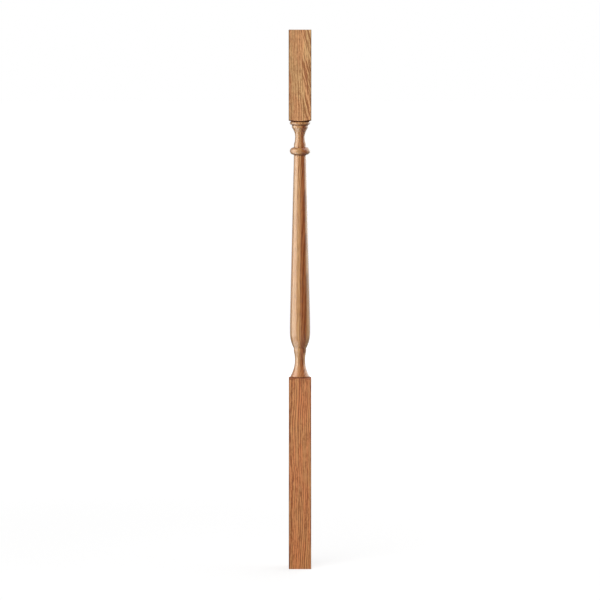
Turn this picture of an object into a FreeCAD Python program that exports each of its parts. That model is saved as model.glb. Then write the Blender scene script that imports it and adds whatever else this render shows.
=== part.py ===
# Stair baluster with a square top: one length of red oak, planed square and turned between its two blocks.
# The axis is Z, the origin is the centre of the base end. Lengths are in millimetres, angles in degrees.

import FreeCAD
import Part
import Sketcher
import math
import os

NODE = "turned_baluster"
START, END, CENTRE = 1, 2, 3
ORIGIN = (-1, 1)

# Driving dimensions, from the whole piece down through the turning. A drop is measured down from the upper
# shoulder and a height up from the lower one, both taken at the middle of a block's face.
SIZES = (
    ("overall_length", 1066.8, "base end to top end"),
    ("block_side", 44.45, "side of the square stock"),
    ("top_block_length", 177.8, "top end to the upper shoulder"),
    ("base_block_length", 381.0, "base end to the lower shoulder"),
    ("edge_ease", 1.0, "radius sanded on the long edges of the blocks"),
    ("shoulder_slope", 18.0, "fall of both shoulders towards the corners"),
    ("upper_bead_diameter", 40.5, "bead under the top block"),
    ("upper_bead_thickness", 6.4, "height of that half-round bead"),
    ("cap_diameter", 32.4, "plain band under the bead"),
    ("cap_height", 4.6, "straight part of that band"),
    ("cap_round", 3.2, "radius that turns the band in to the upper neck"),
    ("upper_neck_diameter", 19.3, "narrowest place of the turning"),
    ("upper_neck_drop", 32.0, "upper shoulder down to the upper neck"),
    ("collar_seat_diameter", 24.2, "straight band on top of the collar"),
    ("collar_seat_height", 6.5, "height of that band"),
    ("collar_diameter", 40.5, "large ring at the head of the shaft"),
    ("collar_thickness", 14.0, "height of that half-round ring"),
    ("collar_drop", 59.9, "upper shoulder down to the middle of the collar"),
    ("shaft_top_diameter", 24.2, "shaft where it leaves the collar"),
    ("belly_blend", 30.0, "length over which the taper rounds into the belly"),
    ("belly_diameter", 40.5, "widest place of the shaft"),
    ("belly_height", 89.0, "lower shoulder up to the widest place"),
    ("belly_end_diameter", 26.0, "lower rim of the belly"),
    ("belly_end_height", 59.3, "lower shoulder up to that rim"),
    ("foot_seat_diameter", 24.8, "straight band under the belly"),
    ("foot_seat_height", 7.3, "height of that band"),
    ("lower_neck_diameter", 20.3, "neck above the foot"),
    ("lower_neck_height", 35.0, "lower shoulder up to the lower neck"),
    ("flare_diameter", 36.8, "foot where it stands on the lower shoulder"),
    ("flare_height", 3.5, "lower shoulder up to the end of the foot's curve"),
)


def make_sheet(doc):
    """The spreadsheet that holds the driving dimensions, one row each."""
    sheet = doc.addObject("Spreadsheet::Sheet", "sizes")
    for row, (alias, value, meaning) in enumerate(SIZES, start=1):
        sheet.set(f"A{row}", meaning)
        sheet.set(f"B{row}", str(value))
        sheet.setAlias(f"B{row}", alias)
    doc.recompute()
    return sheet


def new_sketch(body, name, role):
    """An empty sketch on one of the body's own origin planes."""
    plane = next(item for item in body.Origin.OriginFeatures if item.Role == role)
    sketch = body.newObject("Sketcher::SketchObject", name)
    sketch.AttachmentSupport = (plane, [""])
    sketch.MapMode = "FlatFace"
    return sketch


def tie(sketch, name, expression, kind, *references):
    """A named dimension of a sketch, driven by the sheet."""
    value = FreeCAD.Units.Quantity(sketch.evalExpression(expression))
    number = math.radians(value.Value) if kind == "Angle" else value.Value
    index = sketch.addConstraint(Sketcher.Constraint(kind, *references, number))
    sketch.renameConstraint(index, name)
    sketch.setExpression(f"Constraints.{name}", expression)


def make_blank(doc, body, sheet):
    """The planed square stock, with its four long edges eased."""
    half = sheet.get("block_side") / 2
    corners = [FreeCAD.Vector(x * half, y * half) for x, y in ((-1, -1), (1, -1), (1, 1), (-1, 1))]
    section = new_sketch(body, "stock_section", "XY_Plane")
    for index in range(4):
        section.addGeometry(Part.LineSegment(corners[index], corners[(index + 1) % 4]))
        section.addConstraint(Sketcher.Constraint("Vertical" if index % 2 else "Horizontal", index))
    for index in range(4):
        section.addConstraint(Sketcher.Constraint("Coincident", index, END, (index + 1) % 4, START))
    section.addConstraint(Sketcher.Constraint("Symmetric", 0, START, 1, END, *ORIGIN))
    tie(section, "width", "sizes.block_side", "DistanceX", 0, START, 0, END)
    tie(section, "depth", "sizes.block_side", "DistanceY", 1, START, 1, END)

    stock = body.newObject("PartDesign::Pad", "square_stock")
    stock.Profile = section
    stock.setExpression("Length", "sizes.overall_length")
    doc.recompute()

    long_edges = [
        f"Edge{index}"
        for index, edge in enumerate(stock.Shape.Edges, start=1)
        if abs(edge.tangentAt(edge.FirstParameter).z) > 0.99
    ]
    eased = body.newObject("PartDesign::Fillet", "eased_edges")
    eased.Base = (stock, long_edges)
    eased.setExpression("Radius", "sizes.edge_ease")
    doc.recompute()


def line(top, bottom):
    """A straight stretch of the outline, drawn from its upper end."""
    return Part.LineSegment(FreeCAD.Vector(*top), FreeCAD.Vector(*bottom)), START, END


def bead(centre, radius):
    """A half-round that stands out from the axis."""
    circle = Part.Circle(FreeCAD.Vector(*centre), FreeCAD.Vector(0, 0, 1), radius)
    return Part.ArcOfCircle(circle, -math.pi / 2, math.pi / 2), END, START


def upright_arc(crest, end):
    """An arc that runs parallel to the axis at its crest, the widest or narrowest point, and stops at end."""
    across, along = end[0] - crest[0], end[1] - crest[1]
    radius = (across**2 + along**2) / (2 * abs(across))
    centre = (crest[0] + math.copysign(radius, across), crest[1])
    circle = Part.Circle(FreeCAD.Vector(*centre), FreeCAD.Vector(0, 0, 1), radius)
    crest_angle = math.pi if across > 0 else 0.0
    end_angle = math.atan2(end[1] - centre[1], end[0] - centre[0])
    if across > 0 and end_angle < 0:
        end_angle += 2 * math.pi
    first, last = sorted((crest_angle, end_angle))
    ends_above = along > 0
    crest_is_first = crest_angle == first
    upper, lower = (END, START) if ends_above == crest_is_first else (START, END)
    return Part.ArcOfCircle(circle, first, last), upper, lower


def outline(size):
    """The outline that the lathe leaves, from the upper shoulder down, at the sheet's present values.

    Each entry is a name and a curve of radius and height, with the numbers of its upper and lower ends."""
    half = size("block_side") / 2
    upper = size("overall_length") - size("top_block_length")
    lower = size("base_block_length")
    fall = math.tan(math.radians(size("shoulder_slope")))
    swing = size("block_side")

    bead_half = size("upper_bead_thickness") / 2
    bead_root = size("upper_bead_diameter") / 2 - bead_half
    bead_top = upper - (half - bead_root) * fall
    bead_low = bead_top - 2 * bead_half
    cap = size("cap_diameter") / 2
    cap_low = bead_low - size("cap_height")

    neck = (size("upper_neck_diameter") / 2, upper - size("upper_neck_drop"))
    # The band's round and the neck's hollow meet on the line between their centres.
    cap_round = size("cap_round")
    across = neck[0] - cap + cap_round
    along = cap_low - neck[1]
    hollow = (along**2 + across**2 - cap_round**2) / (2 * (cap_round - across))
    turn = math.asin(along / (cap_round + hollow))
    ogee = (cap - cap_round * (1 - math.cos(turn)), cap_low - cap_round * math.sin(turn))

    collar_half = size("collar_thickness") / 2
    collar_root = size("collar_diameter") / 2 - collar_half
    collar_level = upper - size("collar_drop")
    collar_top = collar_level + collar_half
    collar_low = collar_level - collar_half
    seat = size("collar_seat_diameter") / 2
    seat_top = collar_top + size("collar_seat_height")

    shaft = (size("shaft_top_diameter") / 2, collar_low)
    belly = (size("belly_diameter") / 2, lower + size("belly_height"))
    blend = size("belly_blend")
    taper = (belly[0] - shaft[0]) / (shaft[1] - belly[1] - blend / 2)
    blend_top = (belly[0] - taper * blend / 2, belly[1] + blend)
    belly_end = (size("belly_end_diameter") / 2, lower + size("belly_end_height"))

    foot_seat = size("foot_seat_diameter") / 2
    foot_seat_low = (foot_seat, belly_end[1] - size("foot_seat_height"))
    low_neck = (size("lower_neck_diameter") / 2, lower + size("lower_neck_height"))
    flare = (size("flare_diameter") / 2, lower + size("flare_height"))
    flare_low = (flare[0], lower + (half - flare[0]) * fall)

    upper_rim = (swing, upper + (swing - half) * fall)
    lower_rim = (swing, lower - (swing - half) * fall)
    return {
        "upper_shoulder": line(upper_rim, (bead_root, bead_top)),
        "upper_bead": bead((bead_root, bead_top - bead_half), bead_half),
        "bead_step": line((bead_root, bead_low), (cap, bead_low)),
        "cap_band": line((cap, bead_low), (cap, cap_low)),
        "cap_turn": upright_arc((cap, cap_low), ogee),
        "neck_hollow": upright_arc(neck, ogee),
        "neck_spread": upright_arc(neck, (seat, seat_top)),
        "collar_seat": line((seat, seat_top), (seat, collar_top)),
        "collar_step": line((seat, collar_top), (collar_root, collar_top)),
        "collar": bead((collar_root, collar_level), collar_half),
        "shaft_step": line((collar_root, collar_low), shaft),
        "shaft_taper": line(shaft, blend_top),
        "belly_rise": upright_arc(belly, blend_top),
        "belly_fall": upright_arc(belly, belly_end),
        "belly_step": line(belly_end, (foot_seat, belly_end[1])),
        "foot_seat": line((foot_seat, belly_end[1]), foot_seat_low),
        "foot_hollow": upright_arc(low_neck, foot_seat_low),
        "foot_spread": upright_arc(low_neck, flare),
        "foot_band": line(flare, flare_low),
        "lower_shoulder": line(flare_low, lower_rim),
        "waste_side": line(lower_rim, upper_rim),
    }


def draw_outline(sketch, sheet):
    """Draws the outline as a closed loop with the waste outside it, and ties it to the sheet."""
    curves = outline(sheet.get)
    geo, top, low = {}, {}, {}
    for name, (curve, upper_end, lower_end) in curves.items():
        geo[name] = sketch.addGeometry(curve)
        top[name] = (geo[name], upper_end)
        low[name] = (geo[name], lower_end)

    def hold(kind, *references):
        sketch.addConstraint(Sketcher.Constraint(kind, *references))

    def centre(name):
        return geo[name], CENTRE

    # Each stretch starts where the one above it ends, smoothly at two of the joins.
    names = list(curves)
    smooth = {"neck_hollow", "belly_rise"}
    for above, below in zip(names, names[1:] + names[:1]):
        hold("Tangent" if below in smooth else "Coincident", *low[above], *top[below])

    for name in ("bead_step", "collar_step", "shaft_step", "belly_step"):
        hold("Horizontal", geo[name])
    for name in ("cap_band", "collar_seat", "foot_seat", "foot_band", "waste_side"):
        hold("Vertical", geo[name])
    for name in ("upper_bead", "collar"):
        hold("Vertical", *centre(name), *top[name])
        hold("Vertical", *centre(name), *low[name])
    for name in ("cap_turn", "neck_spread", "belly_fall", "foot_spread"):
        hold("Horizontal", *centre(name), *top[name])
    for name in ("neck_hollow", "belly_rise", "foot_hollow"):
        hold("Horizontal", *centre(name), *low[name])

    def radius_of(point, name, expression):
        tie(sketch, name, expression, "DistanceX", *ORIGIN, *point)

    def level_of(point, name, expression):
        tie(sketch, name, expression, "DistanceY", *ORIGIN, *point)

    upper = "sizes.overall_length - sizes.top_block_length"
    lower = "sizes.base_block_length"

    # Both shoulders cross the middle of a block's face at the block's length and fall away to its corners.
    for name, level, sense in (("upper_shoulder", upper, 1), ("lower_shoulder", lower, -1)):
        on_face = sketch.addGeometry(Part.Point(FreeCAD.Vector(sheet.get("block_side") / 2, 0)), True)
        hold("PointOnObject", on_face, START, geo[name])
        radius_of((on_face, START), f"{name}_face", "sizes.block_side / 2")
        level_of((on_face, START), f"{name}_level", level)
        inner = low[name] if sense > 0 else top[name]
        slope = f"sizes.shoulder_slope * {sense} deg"
        tie(sketch, f"{name}_slope", slope, "Angle", -1, START, *inner)
    radius_of(top["upper_shoulder"], "waste_radius", "sizes.block_side")

    radius_of(top["upper_bead"], "bead_root", "(sizes.upper_bead_diameter - sizes.upper_bead_thickness) / 2")
    tie(sketch, "bead_half", "sizes.upper_bead_thickness / 2", "Radius", geo["upper_bead"])
    radius_of(top["cap_band"], "cap_radius", "sizes.cap_diameter / 2")
    tie(sketch, "cap_height", "sizes.cap_height", "DistanceY", *low["cap_band"], *top["cap_band"])
    tie(sketch, "cap_round", "sizes.cap_round", "Radius", geo["cap_turn"])

    radius_of(low["neck_hollow"], "upper_neck_radius", "sizes.upper_neck_diameter / 2")
    level_of(low["neck_hollow"], "upper_neck_level", f"{upper} - sizes.upper_neck_drop")
    radius_of(top["collar_seat"], "collar_seat_radius", "sizes.collar_seat_diameter / 2")
    seat_ends = (*low["collar_seat"], *top["collar_seat"])
    tie(sketch, "collar_seat_height", "sizes.collar_seat_height", "DistanceY", *seat_ends)
    radius_of(top["collar"], "collar_root", "(sizes.collar_diameter - sizes.collar_thickness) / 2")
    tie(sketch, "collar_half", "sizes.collar_thickness / 2", "Radius", geo["collar"])
    level_of(centre("collar"), "collar_level", f"{upper} - sizes.collar_drop")

    radius_of(top["shaft_taper"], "shaft_top_radius", "sizes.shaft_top_diameter / 2")
    tie(sketch, "belly_blend", "sizes.belly_blend", "DistanceY", *low["belly_rise"], *top["belly_rise"])
    radius_of(low["belly_rise"], "belly_radius", "sizes.belly_diameter / 2")
    level_of(low["belly_rise"], "belly_level", f"{lower} + sizes.belly_height")
    radius_of(low["belly_fall"], "belly_end_radius", "sizes.belly_end_diameter / 2")
    level_of(low["belly_fall"], "belly_end_level", f"{lower} + sizes.belly_end_height")

    radius_of(top["foot_seat"], "foot_seat_radius", "sizes.foot_seat_diameter / 2")
    foot_ends = (*low["foot_seat"], *top["foot_seat"])
    tie(sketch, "foot_seat_height", "sizes.foot_seat_height", "DistanceY", *foot_ends)
    radius_of(low["foot_hollow"], "lower_neck_radius", "sizes.lower_neck_diameter / 2")
    level_of(low["foot_hollow"], "lower_neck_level", f"{lower} + sizes.lower_neck_height")
    radius_of(low["foot_spread"], "flare_radius", "sizes.flare_diameter / 2")
    level_of(low["foot_spread"], "flare_level", f"{lower} + sizes.flare_height")


def turn(doc, body, sheet):
    """Turns the stock between its two blocks: the waste outside the outline comes off all round."""
    before = body.Shape.Volume
    profile = new_sketch(body, "turned_outline", "XZ_Plane")
    draw_outline(profile, sheet)
    cut = body.newObject("PartDesign::Groove", "turning")
    cut.Profile = profile
    cut.ReferenceAxis = (profile, ["V_Axis"])
    cut.Angle = 360.0
    doc.recompute()
    if not profile.FullyConstrained:
        raise RuntimeError("the turned outline isn't fully constrained")
    if body.Shape.Volume >= before:
        raise RuntimeError("the turning took nothing off the stock")


def check(doc, part):
    """Stops before anything is written if a feature failed or the solid isn't sound."""
    failed = [item.Label for item in doc.Objects if {"Invalid", "Error"} & set(item.State)]
    if failed:
        raise RuntimeError(f"these objects failed: {failed}")
    if part.Shape.isNull() or not part.Shape.isValid() or len(part.Shape.Solids) != 1:
        raise RuntimeError(f"{part.Label} isn't one sound solid")


def main():
    doc = FreeCAD.newDocument("stair_baluster")
    sheet = make_sheet(doc)
    body = doc.addObject("PartDesign::Body", NODE)
    body.Label = NODE
    make_blank(doc, body, sheet)
    turn(doc, body, sheet)
    body.Placement = FreeCAD.Placement()
    doc.recompute()
    check(doc, body)

    os.makedirs("parts", exist_ok=True)
    body.Shape.exportStep(f"parts/{body.Label}.step")
    box = body.Shape.optimalBoundingBox()
    print(f"{body.Label}: {box.XLength:.2f} x {box.YLength:.2f} x {box.ZLength:.2f} mm, "
          f"{body.Shape.Volume / 1000:.1f} cm3, {len(body.Shape.Faces)} faces")


main()
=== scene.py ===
import math

import bmesh
import bpy
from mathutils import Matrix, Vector


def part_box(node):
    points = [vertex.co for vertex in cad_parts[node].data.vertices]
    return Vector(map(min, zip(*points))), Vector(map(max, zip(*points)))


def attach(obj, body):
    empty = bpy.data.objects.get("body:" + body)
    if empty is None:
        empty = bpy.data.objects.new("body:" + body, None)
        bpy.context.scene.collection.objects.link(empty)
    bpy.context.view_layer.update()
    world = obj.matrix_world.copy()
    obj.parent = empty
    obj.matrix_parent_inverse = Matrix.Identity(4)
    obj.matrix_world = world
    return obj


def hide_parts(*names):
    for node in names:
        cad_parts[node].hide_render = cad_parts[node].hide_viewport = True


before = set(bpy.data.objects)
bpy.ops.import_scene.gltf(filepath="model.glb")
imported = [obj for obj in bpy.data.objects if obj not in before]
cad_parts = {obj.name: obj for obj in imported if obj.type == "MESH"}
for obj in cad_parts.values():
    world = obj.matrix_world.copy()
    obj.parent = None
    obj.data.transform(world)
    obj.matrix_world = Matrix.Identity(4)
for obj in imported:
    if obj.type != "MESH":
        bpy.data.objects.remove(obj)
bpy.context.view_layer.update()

# The square stock
# A length of red oak is sawn and planed to a square, cut off at both ends, and its arrises are eased with
# sandpaper. What is left of it after turning is the plain top block and base block.

base_corner, top_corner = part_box("turned_baluster")
STOCK_SIDE = top_corner[0] - base_corner[0]
LENGTH = top_corner[2] - base_corner[2]
LONG_EDGE_EASE = 0.0010
LONG_EDGE_STEPS = 4
END_EDGE_EASE = 0.0005
END_EDGE_STEPS = 2


def runs_lengthwise(edge):
    """Whether an edge runs from one end of the stock to the other."""
    return abs(edge.verts[0].co.z - edge.verts[1].co.z) > LENGTH / 2


def ease_edges(piece, wanted, ease, steps):
    """Rounds over the edges of a piece in edit mode for which wanted(edge) holds."""
    edit_mesh = bmesh.from_edit_mesh(piece.data)
    bpy.ops.mesh.select_all(action="DESELECT")
    for edge in edit_mesh.edges:
        edge.select_set(wanted(edge))
    edit_mesh.select_flush_mode()
    bpy.ops.mesh.bevel(offset=ease, segments=steps, affect="EDGES")


bpy.ops.object.select_all(action="DESELECT")
bpy.ops.mesh.primitive_cube_add(size=1.0)
baluster = bpy.context.object
baluster.name = "oak_baluster"
bpy.ops.object.mode_set(mode="EDIT")
bpy.ops.mesh.select_mode(type="EDGE")
bpy.ops.mesh.select_all(action="SELECT")
bpy.ops.transform.resize(value=(STOCK_SIDE, STOCK_SIDE, LENGTH), center_override=(0.0, 0.0, 0.0))
bpy.ops.transform.translate(value=(0.0, 0.0, base_corner[2] + LENGTH / 2))
ease_edges(baluster, runs_lengthwise, LONG_EDGE_EASE, LONG_EDGE_STEPS)
ease_edges(baluster, lambda edge: not runs_lengthwise(edge), END_EDGE_EASE, END_EDGE_STEPS)
bpy.ops.object.mode_set(mode="OBJECT")

# The turning
# The middle of the stock is turned on a lathe, from the upper shoulder down: a bead, a plain band that turns
# in to the upper neck, a collar, a taper that swells to a belly, the lower neck and a foot that flares out
# on to the lower shoulder. Both shoulders slope, so they run out on the flat faces in shallow arcs.

TOP_BLOCK_LENGTH = 0.1778
BASE_BLOCK_LENGTH = 0.3810
UPPER_SHOULDER = LENGTH - TOP_BLOCK_LENGTH
LOWER_SHOULDER = BASE_BLOCK_LENGTH
SHOULDER_FALL = math.tan(math.radians(18.0))


def upper_shoulder_at(radius):
    """The height of the upper shoulder's slope, which is UPPER_SHOULDER at the middle of each flat face."""
    return UPPER_SHOULDER + (radius - STOCK_SIDE / 2) * SHOULDER_FALL


def lower_shoulder_at(radius):
    """The height of the lower shoulder's slope, which is LOWER_SHOULDER at the middle of each flat face."""
    return LOWER_SHOULDER - (radius - STOCK_SIDE / 2) * SHOULDER_FALL


# A pair of sizes is a point of the turned outline: its radius and its height.
BEAD_RADIUS = 0.02025
BEAD_THICKNESS = 0.0064
BEAD_ROOT = BEAD_RADIUS - BEAD_THICKNESS / 2
BEAD_TOP = upper_shoulder_at(BEAD_ROOT)
BEAD_LOW = BEAD_TOP - BEAD_THICKNESS
BAND_RADIUS = 0.0162
BAND_HEIGHT = 0.0046
BAND_LOW = BEAD_LOW - BAND_HEIGHT
BAND_ROUND = 0.0032
UPPER_NECK = (0.00965, UPPER_SHOULDER - 0.0320)
COLLAR_RADIUS = 0.02025
COLLAR_THICKNESS = 0.0140
COLLAR_LEVEL = UPPER_SHOULDER - 0.0599
COLLAR_TOP = COLLAR_LEVEL + COLLAR_THICKNESS / 2
COLLAR_LOW = COLLAR_LEVEL - COLLAR_THICKNESS / 2
COLLAR_SEAT = (0.0121, COLLAR_TOP + 0.0065)
SHAFT_TOP_RADIUS = 0.0121
BELLY = (0.02025, LOWER_SHOULDER + 0.0890)
BELLY_BLEND = 0.0300
BELLY_END = (0.0130, LOWER_SHOULDER + 0.0593)
FOOT_SEAT = (0.0124, BELLY_END[1] - 0.0073)
LOWER_NECK = (0.01015, LOWER_SHOULDER + 0.0350)
FLARE = (0.0184, LOWER_SHOULDER + 0.0035)
WASTE_RADIUS = STOCK_SIDE
WASTE_MARGIN = 0.0100
TURNING_STEPS = 160
ARC_STEP = math.radians(6.0)
FEWEST_ARC_STEPS = 4
MERGE_DISTANCE = 1e-6
SMOOTH_ANGLE = math.radians(28.0)


def arc(centre, radius, first, last):
    """Points of (radius, height) along an arc of the outline, both ends included."""
    steps = max(FEWEST_ARC_STEPS, round(abs(last - first) / ARC_STEP))
    angles = [first + (last - first) * step / steps for step in range(steps + 1)]
    return [(centre[0] + radius * math.cos(a), centre[1] + radius * math.sin(a)) for a in angles]


def half_round(outer_radius, thickness, level):
    """A half-round bead that stands out from the axis, from its upper edge to its lower edge."""
    radius = thickness / 2
    return arc((outer_radius - radius, level), radius, math.pi / 2, -math.pi / 2)


def crest_arc(crest, end):
    """An arc that runs along the axis at its crest, the widest or narrowest point, and stops at end."""
    across, along = end[0] - crest[0], end[1] - crest[1]
    radius = (across**2 + along**2) / (2 * abs(across))
    swing = math.asin(along / radius)
    if across > 0:
        return arc((crest[0] + radius, crest[1]), radius, math.pi, math.pi - swing)
    return arc((crest[0] - radius, crest[1]), radius, 0.0, swing)


def turned_outline():
    """The outline that the lathe leaves, from the axis over the top end down to the axis at the base."""
    # The band's round and the neck's hollow meet on the line between their centres.
    across = UPPER_NECK[0] - BAND_RADIUS + BAND_ROUND
    along = BAND_LOW - UPPER_NECK[1]
    hollow = (along**2 + across**2 - BAND_ROUND**2) / (2 * (BAND_ROUND - across))
    turn = math.asin(along / (BAND_ROUND + hollow))
    ogee = (BAND_RADIUS - BAND_ROUND * (1 - math.cos(turn)), BAND_LOW - BAND_ROUND * math.sin(turn))

    # The taper runs straight from the collar to where it blends into the crest of the belly.
    taper_run = COLLAR_LOW - BELLY[1] - BELLY_BLEND / 2
    taper = math.atan((BELLY[0] - SHAFT_TOP_RADIUS) / taper_run)
    blend_top = (BELLY[0] - BELLY_BLEND * math.tan(taper / 2), BELLY[1] + BELLY_BLEND)

    return [
        (0.0, LENGTH + WASTE_MARGIN),
        (WASTE_RADIUS, LENGTH + WASTE_MARGIN),
        (WASTE_RADIUS, upper_shoulder_at(WASTE_RADIUS)),
        *half_round(BEAD_RADIUS, BEAD_THICKNESS, BEAD_TOP - BEAD_THICKNESS / 2),
        (BAND_RADIUS, BEAD_LOW),
        (BAND_RADIUS, BAND_LOW),
        *crest_arc((BAND_RADIUS, BAND_LOW), ogee)[1:],
        *reversed(crest_arc(UPPER_NECK, ogee)[:-1]),
        *crest_arc(UPPER_NECK, COLLAR_SEAT)[1:],
        (COLLAR_SEAT[0], COLLAR_TOP),
        *half_round(COLLAR_RADIUS, COLLAR_THICKNESS, COLLAR_LEVEL),
        (SHAFT_TOP_RADIUS, COLLAR_LOW),
        *reversed(crest_arc(BELLY, blend_top)),
        *crest_arc(BELLY, BELLY_END)[1:],
        (FOOT_SEAT[0], BELLY_END[1]),
        *reversed(crest_arc(LOWER_NECK, FOOT_SEAT)),
        *crest_arc(LOWER_NECK, FLARE)[1:],
        (FLARE[0], lower_shoulder_at(FLARE[0])),
        (WASTE_RADIUS, lower_shoulder_at(WASTE_RADIUS)),
        (WASTE_RADIUS, -WASTE_MARGIN),
        (0.0, -WASTE_MARGIN),
    ]


def close_seams():
    """Merges the doubled points of the mesh in edit mode, and points its faces outwards."""
    bpy.ops.mesh.select_all(action="SELECT")
    bpy.ops.mesh.remove_doubles(threshold=MERGE_DISTANCE)
    bpy.ops.mesh.normals_make_consistent(inside=False)


# The outline is drawn point by point from a single vertex, and spun round the axis to a closed form.
outline = [Vector((radius, 0.0, height)) for radius, height in turned_outline()]
bpy.ops.object.select_all(action="DESELECT")
bpy.ops.mesh.primitive_plane_add(size=STOCK_SIDE)
turned_form = bpy.context.object
bpy.ops.object.mode_set(mode="EDIT")
bpy.ops.mesh.select_mode(type="VERT")
bpy.ops.mesh.merge(type="CENTER")
bpy.ops.transform.translate(value=outline[0])
for start, end in zip(outline, outline[1:]):
    bpy.ops.mesh.extrude_vertices_move(TRANSFORM_OT_translate={"value": end - start})
bpy.ops.mesh.select_all(action="SELECT")
bpy.ops.mesh.spin(
    steps=TURNING_STEPS, angle=2 * math.pi, use_auto_merge=True, center=(0.0, 0.0, 0.0), axis=(0.0, 0.0, 1.0)
)
close_seams()
bpy.ops.object.mode_set(mode="OBJECT")

# What the stock and the turned form share is the finished shape.
bpy.ops.object.select_all(action="DESELECT")
bpy.context.view_layer.objects.active = baluster
baluster.select_set(True)
bpy.ops.object.modifier_add(type="BOOLEAN")
cut = baluster.modifiers[-1]
cut.operation = "INTERSECT"
cut.solver = "EXACT"
cut.object = turned_form
bpy.ops.object.modifier_apply(modifier=cut.name)
bpy.data.objects.remove(turned_form, do_unlink=True)

bpy.ops.object.mode_set(mode="EDIT")
close_seams()
bpy.ops.object.mode_set(mode="OBJECT")
bpy.ops.object.shade_smooth_by_angle(angle=SMOOTH_ANGLE)
bpy.ops.object.modifier_add(type="WEIGHTED_NORMAL")
even_shading = baluster.modifiers[-1]
even_shading.keep_sharp = True
bpy.ops.object.modifier_apply(modifier=even_shading.name)

# The red oak
# Each growth ring has a band of open pores and then denser, paler wood, and short rays cross the rings. The
# base is redder, painted shade darkens the right side of the turning in a band that also stands for a dark
# streak of wood, at the right of the top block the grain runs out at a slant, and a thin satin lacquer covers
# it all.


def shader_node(tree, kind, inputs=None, **settings):
    """Adds a node, sets its properties, and gives its inputs a value or another node's output each."""
    node = tree.nodes.new(kind)
    for name, value in settings.items():
        setattr(node, name, value)
    for key, value in (inputs or {}).items():
        if isinstance(value, bpy.types.NodeSocket):
            tree.links.new(value, node.inputs[key])
        else:
            node.inputs[key].default_value = value
    return node


def maths(tree, operation, *values):
    """The result of a Math node on values that are numbers or outputs of other nodes."""
    return shader_node(tree, "ShaderNodeMath", dict(enumerate(values)), operation=operation).outputs[0]


def vector_maths(tree, operation, *values):
    """The result of a Vector Math node: a number for LENGTH and DISTANCE, and otherwise a vector."""
    outputs = shader_node(tree, "ShaderNodeVectorMath", dict(enumerate(values)), operation=operation).outputs
    return outputs["Value"] if operation in ("LENGTH", "DISTANCE") else outputs["Vector"]


def fade(tree, value, low, high, to_low=0.0, to_high=1.0):
    """A smooth change from to_low to to_high as value goes from low to high."""
    limits = {"Value": value, "From Min": low, "From Max": high, "To Min": to_low, "To Max": to_high}
    return shader_node(tree, "ShaderNodeMapRange", limits, interpolation_type="SMOOTHSTEP").outputs["Result"]


def fade_out(tree, value, low, high):
    """A smooth change from 1 to 0 as value goes from low to high."""
    return fade(tree, value, low, high, 1.0, 0.0)


def between(tree, share, at_none, at_all):
    """The value that goes from at_none to at_all in step with share, which goes from 0 to 1."""
    return maths(tree, "MULTIPLY_ADD", share, at_all - at_none, at_none)


def stretched_noise(tree, place, waves, detail=2.0):
    """Noise with its own number of waves a metre along each axis of place."""
    noise_inputs = {"Vector": vector_maths(tree, "MULTIPLY", place, waves), "Scale": 1.0, "Detail": detail}
    return shader_node(tree, "ShaderNodeTexNoise", noise_inputs).outputs["Fac"]


def grain_noise(tree, place, across, along):
    """Noise with so many waves a metre across the grain and along it."""
    return stretched_noise(tree, place, (across, across, along))


def around_zero(tree, noise, reach):
    """Noise shifted to swing about zero, times reach."""
    return maths(tree, "MULTIPLY", maths(tree, "SUBTRACT", noise, 0.5), reach)


# A Mix node has sockets of the same name for numbers, vectors and colours, so its colours go by number.
MIX_FIRST = 6
MIX_SECOND = 7
MIX_RESULT = 2


def colour_blend(tree, factor, first, second, blend_type="MIX"):
    """The colour that goes from first to second, or to first tinted by second, with factor."""
    mix_inputs = {0: factor, MIX_FIRST: first, MIX_SECOND: second}
    node = shader_node(tree, "ShaderNodeMix", mix_inputs, data_type="RGBA", blend_type=blend_type)
    return node.outputs[MIX_RESULT]


oak = bpy.data.materials.new("lacquered_red_oak")
oak.use_nodes = True
tree = oak.node_tree
coordinates = shader_node(tree, "ShaderNodeTexCoord").outputs
place = coordinates["Object"]
across_x, across_y, height = shader_node(tree, "ShaderNodeSeparateXYZ", {0: place}).outputs

# The flat faces lie further out than the turning, and endwise is 1 where the surface faces an end. A pair of
# limits, here and below, is where a smooth change starts and where it ends.
FLAT_FACE = (0.0205, 0.0220)

out_x = maths(tree, "ABSOLUTE", across_x)
out_y = maths(tree, "ABSOLUTE", across_y)
flat_face = fade(tree, maths(tree, "MAXIMUM", out_x, out_y), *FLAT_FACE)
facing = shader_node(tree, "ShaderNodeSeparateXYZ", {0: coordinates["Normal"]}).outputs["Z"]
endwise = maths(tree, "ABSOLUTE", facing)

# Growth rings lie round the pith, outside the stock. They wander, and each starts with a band of spring wood.
PITH = (-0.082, 0.070, 0.0)
ACROSS_ONLY = (1.0, 1.0, 0.0)
RING_WIDTH = 0.0030
RING_WANDER = 0.012
RING_WAVER = 0.010
UNEVEN_WAVES = 0.7
UNEVEN_REACH = 0.7
SPRING_RISE = (0.0, 0.1)
SPRING_DECLINE = (0.2, 0.6)
LINE_NOISE = (0.35, 0.65)
LINE_STRENGTH = (0.35, 1.45)

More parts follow.
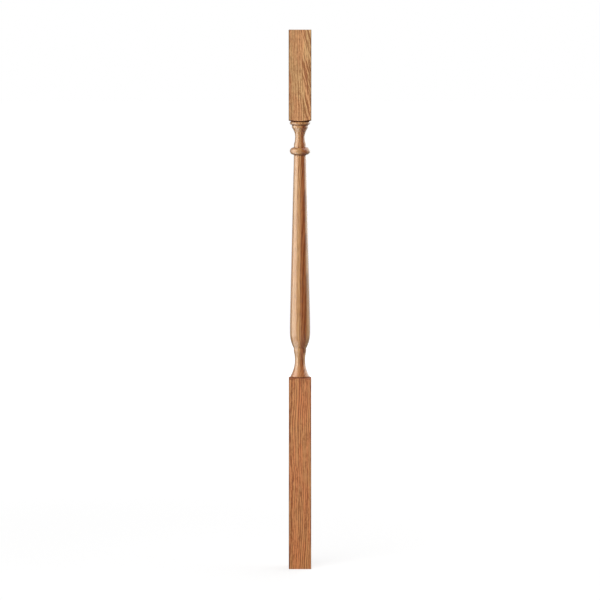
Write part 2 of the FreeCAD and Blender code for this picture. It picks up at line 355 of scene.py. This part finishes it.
from_pith = vector_maths(tree, "MULTIPLY", vector_maths(tree, "SUBTRACT", place, PITH), ACROSS_ONLY)
wander = around_zero(tree, grain_noise(tree, place, across=9.0, along=1.8), RING_WANDER)
waver = around_zero(tree, grain_noise(tree, place, across=15.0, along=8.0), RING_WAVER)
ring_radius = maths(tree, "ADD", vector_maths(tree, "LENGTH", from_pith), wander)
ring_radius = maths(tree, "ADD", ring_radius, waver)
ring = maths(tree, "DIVIDE", ring_radius, RING_WIDTH)
uneven_inputs = {"W": ring, "Scale": UNEVEN_WAVES, "Detail": 1.0}
uneven = shader_node(tree, "ShaderNodeTexNoise", uneven_inputs, noise_dimensions="1D").outputs["Fac"]
ring = maths(tree, "ADD", ring, around_zero(tree, uneven, UNEVEN_REACH))
ring_part = maths(tree, "FRACT", ring)
ring_number = maths(tree, "FLOOR", ring)
tone_noise = shader_node(tree, "ShaderNodeTexWhiteNoise", {"W": ring_number}, noise_dimensions="1D")
ring_tone = tone_noise.outputs["Value"]
spring_wood = maths(
    tree, "MULTIPLY", fade(tree, ring_part, *SPRING_RISE), fade_out(tree, ring_part, *SPRING_DECLINE)
)
line_noise = grain_noise(tree, place, across=110.0, along=13.0)
line_strength = fade(tree, line_noise, *LINE_NOISE, *LINE_STRENGTH)

# Pores crowd in the spring wood, rays stand in line with the pith, and streaks and flecks of fibre run along
# the grain.
PORE_LIMIT = 0.68
SPRING_PORE_LIMIT = 0.55
PORE_EDGE = (0.0, 0.05)
RAY_WAVES = (25.0, 75.0, 42.0)
RAY_NOISE = (0.62, 0.72)
ELSEWHERE = (3.0, 5.0, 2.0)

pore_noise = grain_noise(tree, place, across=1300.0, along=55.0)
pore_limit = between(tree, spring_wood, PORE_LIMIT, SPRING_PORE_LIMIT)
pores = fade(tree, maths(tree, "SUBTRACT", pore_noise, pore_limit), *PORE_EDGE)
pith_x, pith_y, _ = shader_node(tree, "ShaderNodeSeparateXYZ", {0: from_pith}).outputs
round_pith = maths(tree, "ARCTAN2", pith_y, pith_x)
ray_place = shader_node(tree, "ShaderNodeCombineXYZ", {0: ring_radius, 1: round_pith, 2: height}).outputs[0]
rays_of_wood = fade(tree, stretched_noise(tree, ray_place, RAY_WAVES, detail=1.0), *RAY_NOISE)
broad_streaks = grain_noise(tree, place, across=75.0, along=4.0)
streaks = grain_noise(tree, place, across=170.0, along=10.0)
fine_streaks = grain_noise(tree, place, across=520.0, along=60.0)
flecks = grain_noise(tree, place, across=520.0, along=230.0)
hue_streaks = grain_noise(tree, vector_maths(tree, "ADD", place, ELSEWHERE), across=100.0, along=13.0)

# At the right of the top block's front the grain runs out at a slant, and at its left it is quiet.
TOP_BLOCK = (UPPER_SHOULDER - 0.02, UPPER_SHOULDER + 0.02)
RUN_OUT_SIDE = (0.000, 0.012)
RUN_OUT_FRONT = (-0.0215, -0.0175)
QUIET_SIDE = (-0.014, 0.009)
SLANT = math.tan(math.radians(15.0))

in_top_block = fade(tree, height, *TOP_BLOCK)
run_out = maths(tree, "MULTIPLY", in_top_block, fade(tree, across_x, *RUN_OUT_SIDE))
run_out = maths(tree, "MULTIPLY", run_out, fade_out(tree, across_y, *RUN_OUT_FRONT))
quiet = maths(tree, "MULTIPLY", in_top_block, fade_out(tree, across_x, *QUIET_SIDE))
aside = shader_node(tree, "ShaderNodeCombineXYZ", {0: maths(tree, "MULTIPLY", height, SLANT)}).outputs[0]
slanted_streaks = grain_noise(tree, vector_maths(tree, "ADD", place, aside), across=330.0, along=14.0)

# The swing from pale to dark wood is weaker on the turning, on sloping surfaces and where the grain is quiet,
# and on the end faces it shows the rings. Flecks show on the flat faces alone.
MEAN_SPRING_WOOD = 0.35
RING_TONE_SWING = 0.10
BROAD_STREAK_SWING = 0.12
STREAK_SWING = 0.20
FINE_STREAK_SWING = 2.6
RAY_SWING = 0.3
SLANTED_SWING = 7.0
FLECK_SWING = 1.2
TURNED_SHARE = 0.50
SLOPE = (0.05, 0.40)
SLOPE_SHARE = 0.45
QUIET_SHARE = 0.25
RUN_OUT_SHARE = 0.60
END_FACE = (0.96, 0.99)
END_FACE_SHARE = 0.8

swing = maths(tree, "MULTIPLY", maths(tree, "SUBTRACT", spring_wood, MEAN_SPRING_WOOD), line_strength)
swing = maths(tree, "ADD", swing, around_zero(tree, ring_tone, RING_TONE_SWING))
swing = maths(tree, "ADD", swing, around_zero(tree, broad_streaks, BROAD_STREAK_SWING))
swing = maths(tree, "ADD", swing, around_zero(tree, streaks, STREAK_SWING))
swing = maths(tree, "ADD", swing, around_zero(tree, fine_streaks, FINE_STREAK_SWING))
swing = maths(tree, "ADD", swing, maths(tree, "MULTIPLY", rays_of_wood, RAY_SWING))
end_swing = maths(tree, "MULTIPLY", swing, END_FACE_SHARE)
swing = maths(tree, "MULTIPLY", swing, between(tree, flat_face, TURNED_SHARE, 1.0))
swing = maths(tree, "MULTIPLY", swing, fade(tree, endwise, *SLOPE, 1.0, SLOPE_SHARE))
swing = maths(tree, "MULTIPLY", swing, between(tree, quiet, 1.0, QUIET_SHARE))
swing = maths(tree, "MULTIPLY", swing, between(tree, run_out, 1.0, RUN_OUT_SHARE))
end_face = fade(tree, endwise, *END_FACE)
swing = maths(tree, "MULTIPLY_ADD", end_face, maths(tree, "SUBTRACT", end_swing, swing), swing)
slanted_swing = maths(tree, "MULTIPLY", run_out, around_zero(tree, slanted_streaks, SLANTED_SWING))
fleck_swing = maths(tree, "MULTIPLY", flat_face, around_zero(tree, flecks, FLECK_SWING))
swing = maths(tree, "ADD", maths(tree, "ADD", swing, slanted_swing), fleck_swing)

# Depth of colour: 0 is the palest wood and 1 the darkest. Rosy streaks and dark pores lie over it.
PALE_WOOD_TOP = (0.660, 0.374, 0.150, 1.0)
DARK_WOOD_TOP = (0.315, 0.119, 0.029, 1.0)
PALE_WOOD_BASE = (0.636, 0.276, 0.095, 1.0)
DARK_WOOD_BASE = (0.313, 0.091, 0.020, 1.0)
ROSY_TINT = (1.05, 0.91, 0.90, 1.0)
PORE_COLOUR = (0.150, 0.052, 0.016, 1.0)
MEAN_DEPTH = 0.40
QUIET_DEPTH = 0.50
BASE_TO_TOP = (0.37, 0.43)
ROSY_NOISE = (0.42, 0.60)
ROSY_SHARE_TURNED = 0.4
PORE_COVER = 0.65

depth = maths(tree, "ADD", between(tree, quiet, MEAN_DEPTH, QUIET_DEPTH), swing)
depth = shader_node(tree, "ShaderNodeClamp", {0: depth}).outputs[0]
up_the_length = fade(tree, height, *BASE_TO_TOP)
pale = colour_blend(tree, up_the_length, PALE_WOOD_BASE, PALE_WOOD_TOP)
dark = colour_blend(tree, up_the_length, DARK_WOOD_BASE, DARK_WOOD_TOP)
colour = colour_blend(tree, depth, pale, dark)
rosiness = fade(tree, hue_streaks, *ROSY_NOISE)
rosiness = maths(tree, "MULTIPLY", rosiness, between(tree, flat_face, ROSY_SHARE_TURNED, 1.0))
colour = colour_blend(tree, rosiness, colour, ROSY_TINT, "MULTIPLY")
colour = colour_blend(tree, maths(tree, "MULTIPLY", pores, PORE_COVER), colour, PORE_COLOUR)

# Painted shade on the turning's right side, in a band that also stands for a dark streak of wood: a band of
# angles round the axis, counted from the front, that drifts as it rises.
SHADE_STREAK_TINT = (0.63, 0.40, 0.34, 1.0)
SHADE_STREAK_FOOT = (0.36, 0.42)
SHADE_STREAK_HEAD = (0.875, 0.89)
SHADE_STREAK_LEFT = (-0.16, 0.24)
SHADE_STREAK_RIGHT = (0.55, 0.88)
SHADE_STREAK_LEVEL = 0.50
SHADE_STREAK_DRIFT = 0.30

turned_length = maths(tree, "MULTIPLY", fade(tree, height, *SHADE_STREAK_FOOT), fade_out(tree, height, *SHADE_STREAK_HEAD))
round_axis = maths(tree, "ARCTAN2", across_x, maths(tree, "MULTIPLY", across_y, -1.0))
shade_streak_drift = maths(tree, "MULTIPLY", maths(tree, "SUBTRACT", height, SHADE_STREAK_LEVEL), SHADE_STREAK_DRIFT)
shade_streak_turn = maths(tree, "SUBTRACT", round_axis, shade_streak_drift)
shade_streak_band = maths(
    tree, "MULTIPLY", fade(tree, shade_streak_turn, *SHADE_STREAK_LEFT), fade_out(tree, shade_streak_turn, *SHADE_STREAK_RIGHT)
)
painted_shade_streak = maths(tree, "MULTIPLY", turned_length, shade_streak_band)
# The band darkens the right of the turning with painted shade, which also stands for a dark streak of wood.
colour = colour_blend(tree, painted_shade_streak, colour, SHADE_STREAK_TINT, "MULTIPLY")

# End grain drinks more of the lacquer, so it is darker. The arrises are darkened with painted shade along the
# edges, and painted shade darkens the quirks beside the beads, which are points of the turned outline.
END_GRAIN_TINT = (0.64, 0.50, 0.44, 1.0)
ARRIS_SHADE_TINT = (0.34, 0.36, 0.40, 1.0)
QUIRK_SHADE_TINT = (0.36, 0.26, 0.20, 1.0)
END_GRAIN = (0.70, 0.94)
ARRIS = (STOCK_SIDE / 2 - 0.0018, STOCK_SIDE / 2 - 0.0006)
QUIRK_REACH = (0.0004, 0.0024)
SHOULDER_QUIRK = 0.0200
FAR_AWAY = 1.0
QUIRKS = (
    (SHOULDER_QUIRK, upper_shoulder_at(SHOULDER_QUIRK)),
    (BEAD_ROOT, BEAD_TOP),
    (BAND_RADIUS, BEAD_LOW),
    (SHAFT_TOP_RADIUS, COLLAR_LOW),
    (FLARE[0], lower_shoulder_at(FLARE[0])),
)

end_grain = fade(tree, endwise, *END_GRAIN)
arris = fade(tree, maths(tree, "MINIMUM", out_x, out_y), *ARRIS)
from_axis = vector_maths(tree, "LENGTH", vector_maths(tree, "MULTIPLY", place, ACROSS_ONLY))
section_place = shader_node(tree, "ShaderNodeCombineXYZ", {0: from_axis, 2: height}).outputs[0]
nearest_quirk = FAR_AWAY
for quirk_radius, quirk_height in QUIRKS:
    gap = vector_maths(tree, "DISTANCE", section_place, (quirk_radius, 0.0, quirk_height))
    nearest_quirk = maths(tree, "MINIMUM", gap, nearest_quirk)
quirk = fade_out(tree, nearest_quirk, *QUIRK_REACH)
colour = colour_blend(tree, end_grain, colour, END_GRAIN_TINT, "MULTIPLY")
# Painted shade along the arrises and in the quirks beside the beads.
colour = colour_blend(tree, arris, colour, ARRIS_SHADE_TINT, "MULTIPLY")
colour = colour_blend(tree, quirk, colour, QUIRK_SHADE_TINT, "MULTIPLY")

# The lacquer shines most on the turning, less on the flat faces, and least where the wood is dull.
COAT_ROUGHNESS = 0.18
ARRIS_DULLNESS = 0.8
FLAT_SHINE = 0.30
TURNED_ROUGHNESS = 0.25
FLAT_ROUGHNESS = 0.45
PORE_ROUGHNESS = 0.2
STREAK_ROUGHNESS = 0.15
DULL_ROUGHNESS = 0.55
STREAK_RELIEF = 0.25
RELIEF_STRENGTH = 0.25
RELIEF_HEIGHT = 0.0002

dull = maths(tree, "MAXIMUM", end_grain, maths(tree, "MULTIPLY", arris, ARRIS_DULLNESS))
dull = maths(tree, "MAXIMUM", dull, quirk)
shine = between(tree, flat_face, 1.0, FLAT_SHINE)
shine = maths(tree, "MULTIPLY", shine, maths(tree, "SUBTRACT", 1.0, dull))
roughness = between(tree, flat_face, TURNED_ROUGHNESS, FLAT_ROUGHNESS)
roughness = maths(tree, "MULTIPLY_ADD", pores, PORE_ROUGHNESS, roughness)
roughness = maths(tree, "ADD", roughness, around_zero(tree, fine_streaks, STREAK_ROUGHNESS))
roughness = maths(tree, "MULTIPLY_ADD", dull, DULL_ROUGHNESS, roughness)
relief = maths(tree, "SUBTRACT", maths(tree, "MULTIPLY", fine_streaks, STREAK_RELIEF), pores)
relief_inputs = {"Height": relief, "Strength": RELIEF_STRENGTH, "Distance": RELIEF_HEIGHT}
satin = tree.nodes["Principled BSDF"]
satin.inputs["Coat Roughness"].default_value = COAT_ROUGHNESS
tree.links.new(colour, satin.inputs["Base Color"])
tree.links.new(shine, satin.inputs["Coat Weight"])
tree.links.new(roughness, satin.inputs["Roughness"])
tree.links.new(shader_node(tree, "ShaderNodeBump", relief_inputs).outputs["Normal"], satin.inputs["Normal"])
baluster.data.materials.clear()
baluster.data.materials.append(oak)

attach(baluster, "root")
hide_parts("turned_baluster")

# The studio
# A wide pale floor under a white surround. A large key light at the front left and a panel beside the camera
# light the wood without showing in its gloss, and a large dim light at the right rear draws a warm rim. Two
# cards at the left, one upright and one on the floor, show only as reflections.

# In the wood's gloss the background shows only from behind, and dimmer, so that it doesn't bleach the edges.
WHITE = (1.0, 1.0, 1.0, 1.0)
GLOSS_LEVEL = 0.6
FLOOR_SIZE = 60.0
FLOOR_COLOUR = (0.30, 0.30, 0.30, 1.0)
FLOOR_GLOW = 0.76
FLOOR_GLOW_REACH = (0.5, 3.0)
FLOOR_GLOSS_DEPTH = (0.4, 3.0)


def background_rays(tree, in_gloss):
    """How much of the background a ray shows: all to the camera and through glass, and in_gloss in gloss."""
    rays = shader_node(tree, "ShaderNodeLightPath").outputs
    in_gloss = maths(tree, "MULTIPLY", rays["Is Glossy Ray"], in_gloss)
    seen = maths(tree, "MAXIMUM", rays["Is Camera Ray"], rays["Is Transmission Ray"])
    return maths(tree, "MAXIMUM", seen, in_gloss)


bpy.ops.object.select_all(action="DESELECT")
bpy.ops.mesh.primitive_plane_add(size=FLOOR_SIZE)
floor = bpy.context.object
floor.name = "floor"
floor_white = bpy.data.materials.new("floor_white")
floor_white.use_nodes = True
tree = floor_white.node_tree
tree.nodes.clear()
matt = shader_node(tree, "ShaderNodeBsdfDiffuse", {"Color": FLOOR_COLOUR})
place = shader_node(tree, "ShaderNodeTexCoord").outputs["Object"]
floor_y = shader_node(tree, "ShaderNodeSeparateXYZ", {0: place}).outputs["Y"]
in_gloss = fade(tree, floor_y, *FLOOR_GLOSS_DEPTH, 0.0, GLOSS_LEVEL)
brightness = fade(tree, vector_maths(tree, "LENGTH", place), *FLOOR_GLOW_REACH, FLOOR_GLOW, 1.0)
floor_level = maths(tree, "MULTIPLY", background_rays(tree, in_gloss), brightness)
glow = shader_node(tree, "ShaderNodeEmission", {"Color": WHITE, "Strength": floor_level})
both = shader_node(tree, "ShaderNodeAddShader", {0: matt.outputs[0], 1: glow.outputs[0]})
shader_node(tree, "ShaderNodeOutputMaterial", {"Surface": both.outputs[0]})
floor.data.materials.append(floor_white)

ROOM_LEVEL = 0.04
SURROUND_GLOSS_DEPTH = (0.0, 0.4)

surround = bpy.data.worlds.new("white_surround")
surround.use_nodes = True
bpy.context.scene.world = surround
tree = surround.node_tree
tree.nodes.clear()
direction = shader_node(tree, "ShaderNodeTexCoord").outputs["Generated"]
surround_y = shader_node(tree, "ShaderNodeSeparateXYZ", {0: direction}).outputs["Y"]
in_gloss = fade(tree, surround_y, *SURROUND_GLOSS_DEPTH, 0.0, GLOSS_LEVEL)
surround_level = maths(tree, "MAXIMUM", background_rays(tree, in_gloss), ROOM_LEVEL)
sky = shader_node(tree, "ShaderNodeBackground", {"Color": WHITE, "Strength": surround_level})
shader_node(tree, "ShaderNodeOutputWorld", {"Surface": sky.outputs[0]})

CARD_COLOUR = (1.0, 0.99, 0.92)


def soft_light(name, azimuth, height, distance, width, tall, radiance, aim=LENGTH / 2):
    """A rectangular soft light; azimuth 0 is the camera's side and a positive one is to the right."""
    light = bpy.data.lights.new(name, "AREA")
    light.shape = "RECTANGLE"
    light.size = width
    light.size_y = tall
    light.energy = radiance * math.pi * width * tall
    lamp = bpy.data.objects.new(name, light)
    bpy.context.scene.collection.objects.link(lamp)
    angle = math.radians(azimuth)
    lamp.location = (distance * math.sin(angle), -distance * math.cos(angle), height)
    lamp.rotation_euler = (Vector((0.0, 0.0, aim)) - lamp.location).to_track_quat("-Z", "Y").to_euler()
    lamp.visible_camera = False
    return lamp


key_light = soft_light(
    "key_light", azimuth=-30.0, height=2.4, distance=4.0, width=4.2, tall=4.0, radiance=3.10
)
front_panel = soft_light(
    "front_panel", azimuth=-10.0, height=1.15, distance=2.0, width=2.6, tall=2.2, radiance=0.95
)
soft_light("back_light", azimuth=125.0, height=2.0, distance=2.1, width=5.4, tall=4.0, radiance=1.4)
side_card = soft_light(
    "side_card", azimuth=-73.5, height=1.15, distance=1.2, width=1.35, tall=2.2, radiance=3.3, aim=1.15
)
floor_card = soft_light(
    "floor_card", azimuth=-75.0, height=0.01, distance=0.72, width=0.95, tall=0.9, radiance=2.2
)
floor_card.rotation_euler = (math.pi, 0.0, 0.0)
for lamp in (key_light, front_panel):
    lamp.visible_glossy = False
for card in (side_card, floor_card):
    card.data.color = CARD_COLOUR
    card.visible_diffuse = False

# The camera
# It stands six metres back with a long lens, about level with the top end and tipped down to the middle, so
# that the top end just stays out of sight and the lower shoulder shows a little from above.

CAMERA_DISTANCE = 6.0
CAMERA_TILT = math.radians(5.5)
CAMERA_AIM = LENGTH / 2 + 0.0014
FOCAL_LENGTH = 182.2

camera_lens = bpy.data.cameras.new("camera")
camera_lens.lens = FOCAL_LENGTH
camera = bpy.data.objects.new("camera", camera_lens)
bpy.context.scene.collection.objects.link(camera)
camera.location = (
    0.0,
    -CAMERA_DISTANCE * math.cos(CAMERA_TILT),
    CAMERA_AIM + CAMERA_DISTANCE * math.sin(CAMERA_TILT),
)
camera.rotation_euler = (math.pi / 2 - CAMERA_TILT, 0.0, 0.0)
bpy.context.scene.camera = camera
bpy.context.scene.view_settings.view_transform = "Standard"
